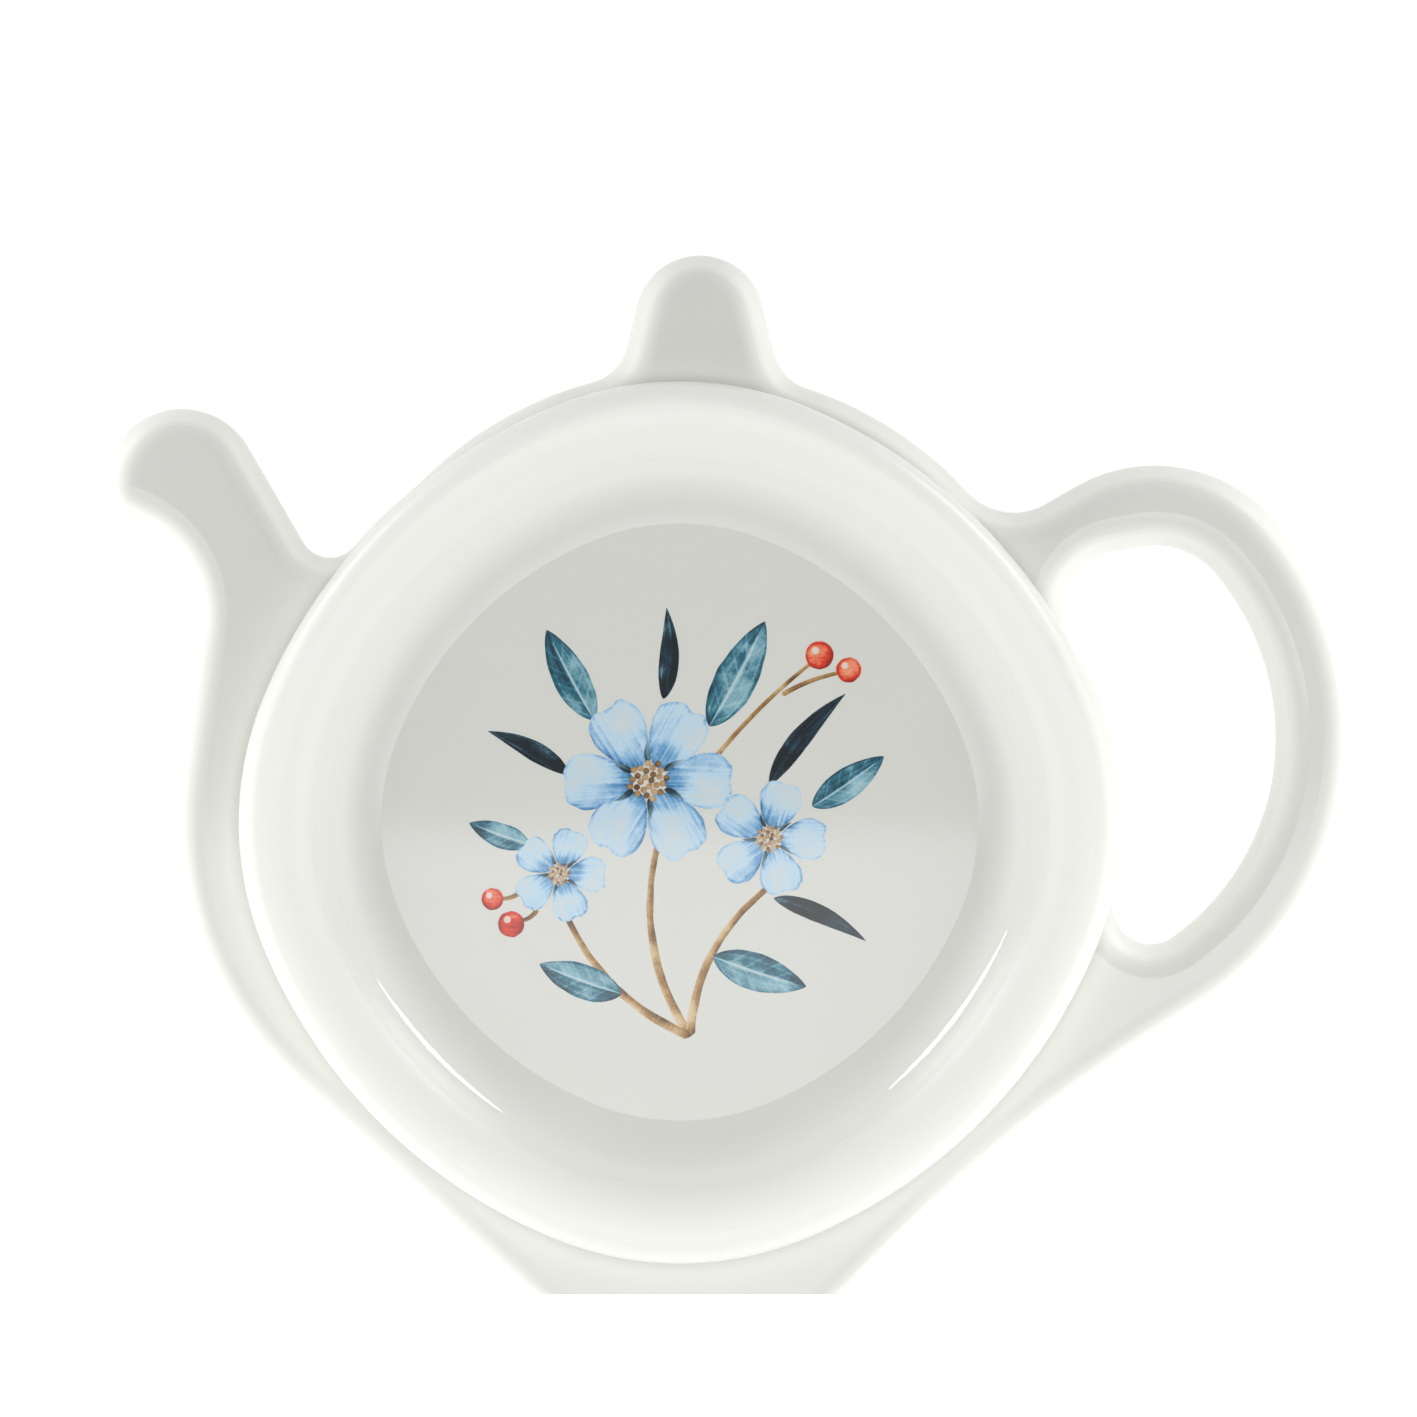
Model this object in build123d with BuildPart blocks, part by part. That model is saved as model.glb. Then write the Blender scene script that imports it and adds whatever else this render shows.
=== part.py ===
from build123d import *
from math import cos, radians, sin, tan
import os

# A tea bag rest in glazed china: a shallow round dish with the outline of a teapot.
# Millimetres. The dish lies flat, with Z up from the table, X from spout to handle and
# Y from pot base to knob. The origin is on the table, on the axis of the bowl.

# Bowl
rim_reach = 42.2  # axis to the rim along X and along Y
rim_draw_in = 1.6  # how far the rim falls inside a circle on its diagonals
rim_outer_round = 2.2
rim_inner_round = 5.6
crest_flat = 0.1  # flat left between the two rounds of the rim, on its diagonals
well_depth = 5.5  # crest of the rim to the floor
well_draw_in = 1.0  # how far the well falls inside a circle on its diagonals
wall_slope = 45.0  # wall of the well, degrees from vertical
floor_round = 6.8
floor_thickness = 3.5

# Foot ring
foot_height = 2.5
foot_width = 3.0
foot_edge_round = 0.4
foot_inset_from_floor = 0.2  # the ring stands under the flat floor, this far in from its edge
under_margin = 0.7  # flat underside outside the ring

# Limbs, one ring of pieces let into the wall of the bowl
limb_thickness = 4.2
limb_drop = 4.5  # crest of the rim to the top of the limbs
limb_top_round = 3.2
limb_under_round = 0.8
root_depth = 2.5  # how far the limbs are let into the wall
ledge = 0.4  # thin ledge of the limbs where the rim is bare

# Spout and left belly
belly_out = 6.7  # widest point of the belly, past the rim
belly_radius = 34.0
belly_lean = 8.0  # lean of the spout's neck, degrees from vertical
neck_length = 13.9
throat_radius = 9.7
lip_slope = 26.0  # underside of the lip, degrees from horizontal
lip_length = 1.6
lip_round = 3.4
mouth_radius = 7.4
spout_back_lean = 30.0  # upper side of the spout, degrees from vertical
spout_notch_round = 3.0
left_flank_slope = 42.0  # degrees from horizontal

# Pot base
base_drop = 3.1  # rim to the flat edge of the base

# Handle
handle_out = 22.8  # widest point of the handle, past the rim
handle_mid = 8.0  # height of that point above the axis
handle_width = 7.7
handle_low_radius = 31.0
handle_low_turn = 59.0  # degrees of arc
handle_high_radius = 32.4
handle_high_turn = 40.0  # degrees of arc
handle_top_radius = 15.3
handle_top_turn = 80.0  # degrees of arc
handle_notch_round = 6.0  # where the handle meets the lid
flank_hollow_radius = 150.0
flank_hollow_turn = 14.0  # degrees of arc
loop_top_turn = 60.0  # degrees of arc
loop_high_corner = 6.0
loop_low_corner = 3.6

# Lid and knob
lid_tighter = 5.9  # rim's reach less the radius of the lid
lid_rise = 1.3  # rim to the top of the lid
lid_offset = 0.9  # the lid stands this far off the axis, towards the handle
lid_end_round = 6.0  # where the lid meets the rim beside the spout
knob_offset = 1.9
knob_rise = 12.3  # rim to the top of the knob
knob_radius = 6.2
knob_flare = 14.0  # sides of the knob, degrees from vertical
knob_root_round = 4.5

# Seams between the limbs
lid_right_span = 40.0  # degrees about the axis from Y to the handle
lid_left_span = 39.0  # degrees about the axis from Y to the spout
base_span = 42.0  # degrees about the axis from the middle of the pot base to each of its ends

# Printed posy on the floor, about the axis
print_thickness = 0.06
print_margin = 5.66  # bare floor left round the print
posy_reach = 23.0  # reach of the posy as it is drawn here, before it is fitted to the floor
blooms = [  # centre, reach, petals
    ((-3.0, 4.0), 8.6, 6),
    ((8.6, -1.6), 5.8, 5),
    ((-11.6, -5.0), 4.8, 5),
]
heart_share = 0.22  # radius of a bloom's heart, against its reach
petal_share = 0.8  # width of a petal, against its length
broad_leaves = [  # foot, direction, length, width
    ((2.8, 9.2), 62, 11.4, 4.0),
    ((-8.2, 9.8), 118, 9.8, 3.4),
    ((12.7, 1.5), 35, 8.4, 3.0),
    ((-14.4, -2.2), 160, 6.2, 2.4),
    ((3.2, -12.9), -18, 9.4, 3.6),
    ((-5.6, -16.5), 160, 8.4, 3.3),
]
slim_leaves = [  # foot, direction, length, width
    ((-1.6, 11.8), 88, 8.8, 1.9),
    ((8.6, 3.6), 50, 11.4, 2.0),
    ((-10.7, 4.6), 152, 8.8, 1.9),
    ((9.0, -7.3), -25, 9.8, 1.8),
]
berries = [  # centre, radius
    ((13.4, 16.0), 1.35),
    ((16.2, 14.6), 1.2),
    ((-16.2, -9.8), 1.25),
    ((-18.0, -7.4), 1.05),
]
stem_foot = (1.0, -20.6)
stem_heads = [(-2.6, -4.6), (7.6, -7.0), (-10.8, -9.2)]
stem_width = 0.9
stem_bow = 1.6  # how far each stem bows out
twigs = [  # foot, head
    ((4.4, 7.4), (13.0, 15.6)),
    ((9.8, 12.2), (15.7, 14.4)),
    ((-13.7, -8.4), (-15.6, -9.5)),
    ((-15.2, -6.6), (-17.4, -7.3)),
]
twig_width = 0.5
twig_bow = 0.3

# Heights and insets that follow
floor_height = foot_height + floor_thickness
rim_height = floor_height + well_depth
limb_top = rim_height - limb_drop
limb_bottom = limb_top - limb_thickness
slope_rest = 90.0 - wall_slope
crest_width = rim_outer_round + crest_flat + rim_inner_round * tan(radians(slope_rest / 2))
well_inset = crest_width + rim_draw_in - well_draw_in
corner_inset = well_inset + well_depth * tan(radians(wall_slope))
floor_inset = corner_inset + floor_round * tan(radians(slope_rest / 2))
print_scale = (rim_reach - floor_inset - print_margin) / posy_reach
foot_inset = floor_inset + foot_inset_from_floor
base_reach = rim_reach + base_drop
lid_radius = rim_reach - lid_tighter
over_run = 2 * limb_top_round  # extra length that later cuts remove
handle_lid_seam = 90.0 - lid_right_span
lid_spout_seam = 90.0 + lid_left_span
spout_base_seam = 270.0 - base_span
base_handle_seam = 270.0 + base_span
knob_centre = rim_reach + knob_rise - knob_radius
knob_foot = rim_reach - root_depth
flare_point = Vector(knob_radius, 0).rotate(Axis.Z, knob_flare)
flare_run = flare_point.X + (knob_centre + flare_point.Y - knob_foot) * tan(radians(knob_flare))
touch = 0.001  # points nearer than this count as one

# The rim is eight tangent arcs: tight ones across the axes and flatter ones across the diagonals
half_span = 22.5  # degrees to each side of an arc's middle


def rim_arcs(draw_in):
    """The shift and radius of the arcs across the axes, then of those across the diagonals."""
    radius_step = draw_in / (1 / cos(radians(half_span)) - 1)
    axis_shift = radius_step * (cos(radians(half_span)) - sin(radians(half_span)))
    axis_radius = rim_reach - axis_shift
    return axis_shift, axis_radius, radius_step * sin(radians(half_span)), axis_radius + radius_step


def rim_outline(inset, draw_in=rim_draw_in):
    """The rim's outline as a face, set in by an inset."""
    axis_shift, axis_radius, diagonal_shift, diagonal_radius = rim_arcs(draw_in)
    with BuildSketch() as outline:
        with BuildLine():
            for turn in range(0, 360, 90):
                axis_centre = Vector(axis_shift, 0).rotate(Axis.Z, turn)
                diagonal_centre = Vector(-diagonal_shift, -diagonal_shift).rotate(Axis.Z, turn)
                CenterArc(axis_centre, axis_radius - inset, turn - half_span, 2 * half_span)
                CenterArc(diagonal_centre, diagonal_radius - inset, turn + half_span, 90 - 2 * half_span)
        make_face()
    return outline.sketch


def corners_on(outline, edge):
    """The corners of an outline that lie on an edge."""
    return outline.vertices().filter_by(lambda corner: edge.distance_to(corner) < touch)


def seam(angle):
    """The upright plane through the axis at an angle, facing the way that the angle grows."""
    return Plane(origin=(0, 0, 0), x_dir=(0, 0, 1), z_dir=Vector(0, 1).rotate(Axis.Z, angle))


# Space inside the loop of the handle
loop_side = (rim_reach + handle_out - handle_width, handle_mid)
rim_shift, rim_radius = rim_arcs(rim_draw_in)[:2]
with BuildSketch() as loop_space:
    with BuildLine():
        loop_high = JernArc(loop_side, (0, 1), handle_high_radius - handle_width, handle_high_turn)
        loop_top = JernArc(loop_high @ 1, loop_high % 1, handle_top_radius - handle_width, loop_top_turn)
        loop_root = PolarLine(loop_top @ 1, Axis.Y, direction=loop_top % 1)
        loop_low = JernArc(loop_side, (0, -1), handle_low_radius - handle_width, -90)
        Polyline(loop_low @ 1, (0, 0), loop_root @ 1)
    make_face()
    with Locations((rim_shift, 0)):
        Circle(rim_radius + ledge, mode=Mode.SUBTRACT)
    fillet(loop_space.vertices().sort_by_distance(loop_root @ 1)[0], loop_high_corner)
    fillet(loop_space.vertices().sort_by_distance(loop_low @ 1)[0], loop_low_corner)

# Outline of the limbs, with the bowl inside it
with BuildSketch() as limb_outline:
    add(rim_outline(-ledge))
    with BuildLine():
        belly_side = (-rim_reach - belly_out, 0)
        belly_high = JernArc(belly_side, (0, 1), belly_radius, -belly_lean)
        neck = PolarLine(belly_high @ 1, neck_length, direction=belly_high % 1)
        throat = JernArc(neck @ 1, neck % 1, throat_radius, 90 - lip_slope + belly_lean)
        lip = PolarLine(throat @ 1, lip_length, direction=throat % 1)
        lip_corner = JernArc(lip @ 1, lip % 1, lip_round, lip_slope - 90)
        mouth = JernArc(lip_corner @ 1, lip_corner % 1, mouth_radius, spout_back_lean - 180)
        spout_back = PolarLine(mouth @ 1, Axis.X, direction=mouth % 1)
        belly_low = JernArc(belly_side, (0, -1), belly_radius, 90 - left_flank_slope)
        far_below = Axis((0, -base_reach - over_run, 0), (1, 0, 0))
        left_flank = PolarLine(belly_low @ 1, far_below, direction=belly_low % 1)
        handle_side = (rim_reach + handle_out, handle_mid)
        handle_low = JernArc(handle_side, (0, -1), handle_low_radius, -handle_low_turn)
        flank_hollow = JernArc(handle_low @ 1, handle_low % 1, flank_hollow_radius, flank_hollow_turn)
        right_flank = PolarLine(flank_hollow @ 1, far_below, direction=flank_hollow % 1)
        handle_high = JernArc(handle_side, (0, 1), handle_high_radius, handle_high_turn)
        handle_top = JernArc(handle_high @ 1, handle_high % 1, handle_top_radius, handle_top_turn)
        handle_root = PolarLine(handle_top @ 1, Axis.X, direction=handle_top % 1)
        Line(left_flank @ 1, right_flank @ 1)
        Line(spout_back @ 1, handle_root @ 1)
    make_face()
    with Locations((lid_offset, rim_reach + lid_rise - lid_radius)):
        lid = Circle(lid_radius)
    with Locations((knob_offset, knob_centre)):
        Circle(knob_radius)
    with BuildLine():
        Polyline(
            (knob_offset - flare_point.X, knob_centre + flare_point.Y),
            (knob_offset + flare_point.X, knob_centre + flare_point.Y),
            (knob_offset + flare_run, knob_foot),
            (knob_offset - flare_run, knob_foot),
            close=True,
        )
    make_face()
    fillet(corners_on(limb_outline, lid.edge()).sort_by(Axis.X)[1:-1], knob_root_round)
    fillet(corners_on(limb_outline, lid.edge()).sort_by(Axis.X)[0], lid_end_round)
    fillet(corners_on(limb_outline, handle_root).sort_by(Axis.X)[0], handle_notch_round)
    fillet(corners_on(limb_outline, spout_back).sort_by(Axis.Y)[0], spout_notch_round)
    add(loop_space.sketch, mode=Mode.SUBTRACT)

# Ring that the limbs are parted from
with BuildPart() as limb_ring:
    with BuildSketch(Plane.XY.offset(limb_bottom)):
        add(limb_outline.sketch)
    extrude(amount=limb_thickness)
    fillet(limb_ring.edges().group_by(Axis.Z)[-1], limb_top_round)
    fillet(limb_ring.edges().group_by(Axis.Z)[0], limb_under_round)
    with BuildSketch(Plane.XY.offset(limb_bottom)):
        add(rim_outline(root_depth))
    extrude(amount=limb_thickness, mode=Mode.SUBTRACT)
    split(bisect_by=Plane.XZ.offset(base_reach), keep=Keep.BOTTOM)

# Spout with the left belly of the pot
with BuildPart() as spout:
    add(limb_ring.part)
    split(bisect_by=seam(lid_spout_seam), keep=Keep.TOP)
    split(bisect_by=seam(spout_base_seam), keep=Keep.BOTTOM)

# Pot base
with BuildPart() as pot_base:
    add(limb_ring.part)
    split(bisect_by=seam(spout_base_seam), keep=Keep.TOP)
    split(bisect_by=seam(base_handle_seam), keep=Keep.BOTTOM)

# Handle with the right flank of the pot
with BuildPart() as handle:
    add(limb_ring.part)
    split(bisect_by=seam(base_handle_seam), keep=Keep.TOP)
    split(bisect_by=seam(handle_lid_seam), keep=Keep.BOTTOM)

# Lid with its knob
with BuildPart() as lid_knob:
    add(limb_ring.part)
    split(bisect_by=seam(handle_lid_seam), keep=Keep.TOP)
    split(bisect_by=seam(lid_spout_seam), keep=Keep.BOTTOM)

# Bowl, with a groove round its wall for the roots of the limbs
with BuildPart() as bowl:
    with BuildSketch(Plane.XY.offset(limb_bottom + limb_under_round)):
        add(rim_outline(0))
    extrude(amount=rim_height - limb_bottom - limb_under_round)
    fillet(bowl.edges().group_by(Axis.Z)[-1], rim_outer_round)
    with BuildSketch(Plane.XY.offset(limb_bottom)):
        add(rim_outline(root_depth))
    extrude(amount=limb_under_round)
    with BuildSketch(Plane.XY.offset(limb_bottom)):
        add(rim_outline(root_depth))
    with BuildSketch(Plane.XY.offset(foot_height)):
        add(rim_outline(foot_inset - under_margin, well_draw_in))
    loft(ruled=True)
    with BuildSketch(Plane.XY.offset(rim_height)):
        add(rim_outline(well_inset, well_draw_in))
    extrude(amount=-well_depth, taper=wall_slope, mode=Mode.SUBTRACT)
    fillet(bowl.faces().sort_by(Axis.Z)[-1].inner_wires()[0].edges(), rim_inner_round)
    fillet(bowl.faces().sort_by_distance((0, 0, floor_height))[0].edges(), floor_round)
    add(limb_ring.part, mode=Mode.SUBTRACT)

# Foot ring, left unglazed
with BuildPart() as foot_ring:
    with BuildSketch():
        add(rim_outline(foot_inset, well_draw_in))
        add(rim_outline(foot_inset + foot_width, well_draw_in), mode=Mode.SUBTRACT)
    extrude(amount=foot_height)
    fillet(foot_ring.edges().group_by(Axis.Z)[0], foot_edge_round)


def leaf_outline(foot, direction, length, width):
    """A pointed leaf between two arcs."""
    tip = Vector(foot) + Vector(length, 0).rotate(Axis.Z, direction)
    with BuildSketch() as outline:
        with BuildLine():
            SagittaArc(foot, tip, width / 2)
            SagittaArc(tip, foot, width / 2)
        make_face()
    return outline.sketch


def bloom_outline(reach, petals):
    """A ring of petals, with its heart left open."""
    heart = heart_share * reach
    petal = (reach - heart) / 2
    with BuildSketch() as outline:
        with PolarLocations(heart + petal, petals):
            Ellipse(petal, petal * petal_share)
        Circle(heart, mode=Mode.SUBTRACT)
    return outline.sketch


# Printed posy, one layer for each colour; a layer leaves out what the layers before it cover
with BuildPart() as print_petals:
    with BuildSketch(Plane.XY.offset(floor_height)) as petals_outline:
        for centre, reach, petals in blooms:
            with Locations(centre):
                add(bloom_outline(reach, petals))
        scale(by=print_scale)
    extrude(amount=print_thickness)

with BuildPart() as print_leaves:
    with BuildSketch(Plane.XY.offset(floor_height)) as leaves_outline:
        for leaf in broad_leaves:
            add(leaf_outline(*leaf))
        scale(by=print_scale)
        add(petals_outline.sketch_local, mode=Mode.SUBTRACT)
    extrude(amount=print_thickness)

with BuildPart() as print_strokes:
    with BuildSketch(Plane.XY.offset(floor_height)) as strokes_outline:
        for leaf in slim_leaves:
            add(leaf_outline(*leaf))
        scale(by=print_scale)
        add([petals_outline.sketch_local, leaves_outline.sketch_local], mode=Mode.SUBTRACT)
    extrude(amount=print_thickness)

with BuildPart() as print_berries:
    with BuildSketch(Plane.XY.offset(floor_height)) as berries_outline:
        for centre, radius in berries:
            with Locations(centre):
                Circle(radius)
        scale(by=print_scale)
    extrude(amount=print_thickness)

with BuildPart() as print_stems:
    with BuildSketch(Plane.XY.offset(floor_height)):
        for head in stem_heads:
            with BuildLine() as stem:
                SagittaArc(stem_foot, head, stem_bow)
            trace(stem.line, stem_width)
        for foot, head in twigs:
            with BuildLine() as twig:
                SagittaArc(foot, head, twig_bow)
            trace(twig.line, twig_width)
        for centre, reach, petals in blooms:
            with Locations(centre):
                Circle(heart_share * reach)
        scale(by=print_scale)
        add([petals_outline.sketch_local, leaves_outline.sketch_local], mode=Mode.SUBTRACT)
        add([strokes_outline.sketch_local, berries_outline.sketch_local], mode=Mode.SUBTRACT)
    extrude(amount=print_thickness)

pieces = {
    "bowl": bowl,
    "foot_ring": foot_ring,
    "spout": spout,
    "pot_base": pot_base,
    "handle": handle,
    "lid_knob": lid_knob,
    "print_petals": print_petals,
    "print_leaves": print_leaves,
    "print_strokes": print_strokes,
    "print_berries": print_berries,
    "print_stems": print_stems,
}
os.makedirs("parts", exist_ok=True)
for name, piece in pieces.items():
    piece.part.label = name
    export_step(piece.part, f"parts/{name}.step")
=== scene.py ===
from math import cos, exp, hypot, pi, radians, sin, sqrt

import bmesh
import bpy
from bpy.props import FloatProperty, FloatVectorProperty, PointerProperty, StringProperty
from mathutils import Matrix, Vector, noise


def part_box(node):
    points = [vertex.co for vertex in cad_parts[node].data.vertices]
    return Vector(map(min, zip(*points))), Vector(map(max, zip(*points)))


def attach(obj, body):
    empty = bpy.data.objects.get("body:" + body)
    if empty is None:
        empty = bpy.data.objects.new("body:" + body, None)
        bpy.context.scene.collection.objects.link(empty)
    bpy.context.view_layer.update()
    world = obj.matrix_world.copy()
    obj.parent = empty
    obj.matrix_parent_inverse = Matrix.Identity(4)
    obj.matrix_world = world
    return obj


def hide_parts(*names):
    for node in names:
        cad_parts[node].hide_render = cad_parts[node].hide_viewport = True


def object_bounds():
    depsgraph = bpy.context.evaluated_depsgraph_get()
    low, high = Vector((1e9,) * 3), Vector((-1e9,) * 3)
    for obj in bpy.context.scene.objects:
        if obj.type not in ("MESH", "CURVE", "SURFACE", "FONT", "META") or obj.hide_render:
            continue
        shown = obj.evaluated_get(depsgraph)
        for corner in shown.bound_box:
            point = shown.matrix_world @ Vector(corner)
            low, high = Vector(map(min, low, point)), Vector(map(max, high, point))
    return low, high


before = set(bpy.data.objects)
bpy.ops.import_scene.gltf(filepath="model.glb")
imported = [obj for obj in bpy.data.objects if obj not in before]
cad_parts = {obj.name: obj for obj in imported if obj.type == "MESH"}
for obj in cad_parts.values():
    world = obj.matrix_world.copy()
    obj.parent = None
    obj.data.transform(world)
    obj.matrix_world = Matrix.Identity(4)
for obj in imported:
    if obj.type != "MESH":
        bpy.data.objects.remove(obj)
cad_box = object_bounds()

bl_info = {
    "name": "Tea Bag Rest",
    "version": (1, 0, 0),
    "blender": (4, 5, 0),
    "location": "3D View > Sidebar > Tea Bag Rest",
    "description": "Glazes the china tea bag rest, paints its posy and sets its studio stage",
    "category": "Object",
}

MM = 0.001
LIMB_NODES = ("spout", "pot_base", "handle", "lid_knob")

# The limbs' upper face and the reach of the bowl's rim
limb_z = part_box("handle")[1].z
rim_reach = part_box("bowl")[1].x

# The bowl's floor, which carries the print
floor_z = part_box("print_petals")[0].z
print_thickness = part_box("print_petals")[1].z - floor_z

# The posy in millimetres about the bowl's axis, as the solids lay it out
BLOOMS = (  # centre, reach, petals
    ((-3.0, 4.0), 8.6, 6),
    ((8.6, -1.6), 5.8, 5),
    ((-11.6, -5.0), 4.8, 5),
)
BROAD_LEAVES = (  # foot, direction, length, width
    ((2.8, 9.2), 62, 11.4, 4.0),
    ((-8.2, 9.8), 118, 9.8, 3.4),
    ((12.7, 1.5), 35, 8.4, 3.0),
    ((-14.4, -2.2), 160, 6.2, 2.4),
    ((3.2, -12.9), -18, 9.4, 3.6),
    ((-5.6, -16.5), 160, 8.4, 3.3),
)
SLIM_LEAVES = (  # foot, direction, length, width
    ((-1.6, 11.8), 88, 8.8, 1.9),
    ((8.6, 3.6), 50, 11.4, 2.0),
    ((-10.7, 4.6), 152, 8.8, 1.9),
    ((9.0, -7.3), -25, 9.8, 1.8),
)
BERRIES = (  # centre, radius
    ((13.4, 16.0), 1.35),
    ((16.2, 14.6), 1.2),
    ((-16.2, -9.8), 1.25),
    ((-18.0, -7.4), 1.05),
)
STEM_FOOT = (1.0, -20.6)
STEM_HEADS = ((-2.6, -4.6), (7.6, -7.0), (-10.8, -9.2))
STEM_WIDTH = 0.9
STEM_BOW = 1.6
TWIGS = (  # foot, head
    ((4.4, 7.4), (13.0, 15.6)),
    ((9.8, 12.2), (15.7, 14.4)),
    ((-13.7, -8.4), (-15.6, -9.5)),
    ((-15.2, -6.6), (-17.4, -7.3)),
)
TWIG_WIDTH = 0.5
TWIG_BOW = 0.3
HEART_SHARE = 0.22  # radius of a bloom's heart, against its reach
GOLDEN_TURN = radians(137.5)  # turn from one stamen to the next
STAMENS = 26

# Two stems and a twig are drawn longer than their solids, so that they end under a petal: a stem
# up to this share of its run, where 1 is its head, and a twig from this share, where 0 is its foot
STEM_RUNS = (1.2, 1.15, 1.0)
TWIG_STARTS = (-0.25, 0.0, 0.0, 0.0)

# The print is laid in coats, each over the one before, and a coat's touches one over another
COATS = ("stems", "leaves", "slim leaves", "petals", "touches", "stamens")
coat_height = print_thickness / len(COATS)
touch_height = coat_height / (STAMENS + 1)  # no coat has more touches than a bloom's stamens
TOUCH_SHIFT = 7.0  # sets the streaks of one touch apart from those of the next

# The strips that draw the highlights stand round the dish, in metres
STRIP_REACH = 0.3
STRIPS = (  # name, bearing in degrees, foot and top over the table, width
    ("upper_right_strip", 43, 0.035, 0.085, 0.14),
    ("upper_left_strip", 143, 0.035, 0.085, 0.14),
    ("lower_left_strip", 221, 0.0, 0.018, 0.17),
    ("lower_right_strip", 320, 0.0, 0.018, 0.13),
)


class ChinaSettings(bpy.types.PropertyGroup):
    """Colours of the china, as sRGB hex"""

    body_colour: StringProperty(
        name="Body colour",
        description="White of the china under a thin glaze, hex",
        default="#F3F4EE",
    )
    # Grey of the thick glaze, partly pooled glaze and partly painted shade on the well's floor and
    # the limbs' flats
    pooled_glaze_and_shade_colour: StringProperty(
        name="Pooled glaze and shade",
        description="Colour where the glaze lies thick, hex",
        default="#D9DAD4",
    )
    foot_colour: StringProperty(
        name="Biscuit colour",
        description="Bare fired china of the foot ring, hex",
        default="#E6E0D4",
    )
    foot_rub_colour: StringProperty(
        name="Rubbed biscuit",
        description="Foot ring where tables have rubbed it grey, hex",
        default="#B9B3A8",
    )


class PosySettings(bpy.types.PropertyGroup):
    """Colours of the printed posy, as sRGB hex"""

    petal_pale: StringProperty(name="Petal wash", description="Thin blue, hex", default="#BBD9EC")
    petal_mid: StringProperty(name="Petal blue", description="Fuller blue, hex", default="#6FA6D2")
    petal_deep: StringProperty(name="Petal pool", description="Pooled blue, hex", default="#2D6796")
    leaf_pale: StringProperty(name="Leaf wash", description="Thin teal, hex", default="#8FBCC8")
    leaf_mid: StringProperty(name="Leaf teal", description="Fuller teal, hex", default="#2F7287")
    leaf_deep: StringProperty(name="Leaf pool", description="Pooled teal, hex", default="#113C4C")
    stroke_pale: StringProperty(name="Ink wash", description="Thin navy, hex", default="#6E95A8")
    stroke_mid: StringProperty(name="Ink navy", description="Fuller navy, hex", default="#163A4A")
    stroke_deep: StringProperty(name="Ink pool", description="Pooled navy, hex", default="#06171F")
    berry_pale: StringProperty(name="Berry wash", description="Thin orange, hex", default="#F2A27C")
    berry_mid: StringProperty(name="Berry red", description="Fuller red, hex", default="#DD3A1C")
    berry_deep: StringProperty(name="Berry pool", description="Pooled red, hex", default="#9C1D10")
    stem_pale: StringProperty(name="Stem wash", description="Thin ochre, hex", default="#D8BE93")
    stem_mid: StringProperty(name="Stem ochre", description="Fuller ochre, hex", default="#A47C47")
    stem_deep: StringProperty(name="Stem pool", description="Pooled brown, hex", default="#5E4023")


class StageSettings(bpy.types.PropertyGroup):
    """The floor, the camera, the lamps and the room that the glaze mirrors"""

    floor_colour: StringProperty(
        name="Floor", description="Matt white card, sRGB hex", default="#F2F2F2"
    )
    floor_glow: FloatProperty(
        name="Floor glow",
        description="Light added to the floor as the camera sees it",
        default=0.3,
        min=0.0,
    )
    far_glow: FloatProperty(
        name="Far glow",
        description="The same on the floor that lies past the lamps",
        default=0.9,
        min=0.0,
    )
    camera_height: FloatProperty(
        name="Camera height", description="Camera above the table", default=0.9, unit="LENGTH"
    )
    view_width: FloatProperty(
        name="View width",
        description="Width of the picture at the limbs",
        default=136.2 * MM,
        unit="LENGTH",
    )
    view_centre: FloatVectorProperty(
        name="View centre",
        description="Middle of the picture from the bowl's axis",
        default=(2.74 * MM, 10.9 * MM),
        size=2,
        unit="LENGTH",
    )
    room_front: FloatProperty(
        name="Room, front",
        description="Light of the room on the side of the pot base",
        default=0.18,
        min=0.0,
    )
    room_back: FloatProperty(
        name="Room, back",
        description="Light of the room on the side of the knob",
        default=0.13,
        min=0.0,
    )
    front_light: FloatProperty(
        name="Front card",
        description="Radiance of the card along the pot base",
        default=0.38,
        min=0.0,
    )
    top_light: FloatProperty(
        name="Top box", description="Radiance of the box overhead", default=3.05, min=0.0
    )
    side_light: FloatProperty(
        name="Side boxes", description="Radiance of the low side boxes", default=1.55, min=0.0
    )
    table_light: FloatProperty(
        name="Table light",
        description="Light that the white table adds to matt surfaces",
        default=0.4,
        min=0.0,
    )
    mirror_front: FloatProperty(
        name="Mirrored, front",
        description="Room overhead, before the mirror line, as the glaze mirrors it",
        default=2.8,
        min=0.0,
    )
    mirror_back: FloatProperty(
        name="Mirrored, back",
        description="Room overhead, behind the mirror line, as the glaze mirrors it",
        default=0.6,
        min=0.0,
    )
    mirror_line: FloatProperty(
        name="Mirror line",
        description="Where the edge between the two mirrors in the floor",
        default=-0.8 * MM,
        unit="LENGTH",
    )
    wide_front: FloatProperty(
        name="Mirrored wall, front",
        description="Front wall of the room as the glaze mirrors it",
        default=0.9,
        min=0.0,
    )
    wide_back: FloatProperty(
        name="Mirrored wall, back",
        description="Back wall of the room as the glaze mirrors it",
        default=0.9,
        min=0.0,
    )
    wide_sides: FloatProperty(
        name="Mirrored walls, sides",
        description="What the side walls add to that",
        default=2.2,
        min=0.0,
    )
    wide_low: FloatProperty(
        name="Mirrored table",
        description="Table at the horizon as the glaze mirrors it",
        default=0.9,
        min=0.0,
    )
    strip_light: FloatProperty(
        name="Strips",
        description="Radiance of the strips that draw the highlights",
        default=8.0,
        min=0.0,
    )


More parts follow.
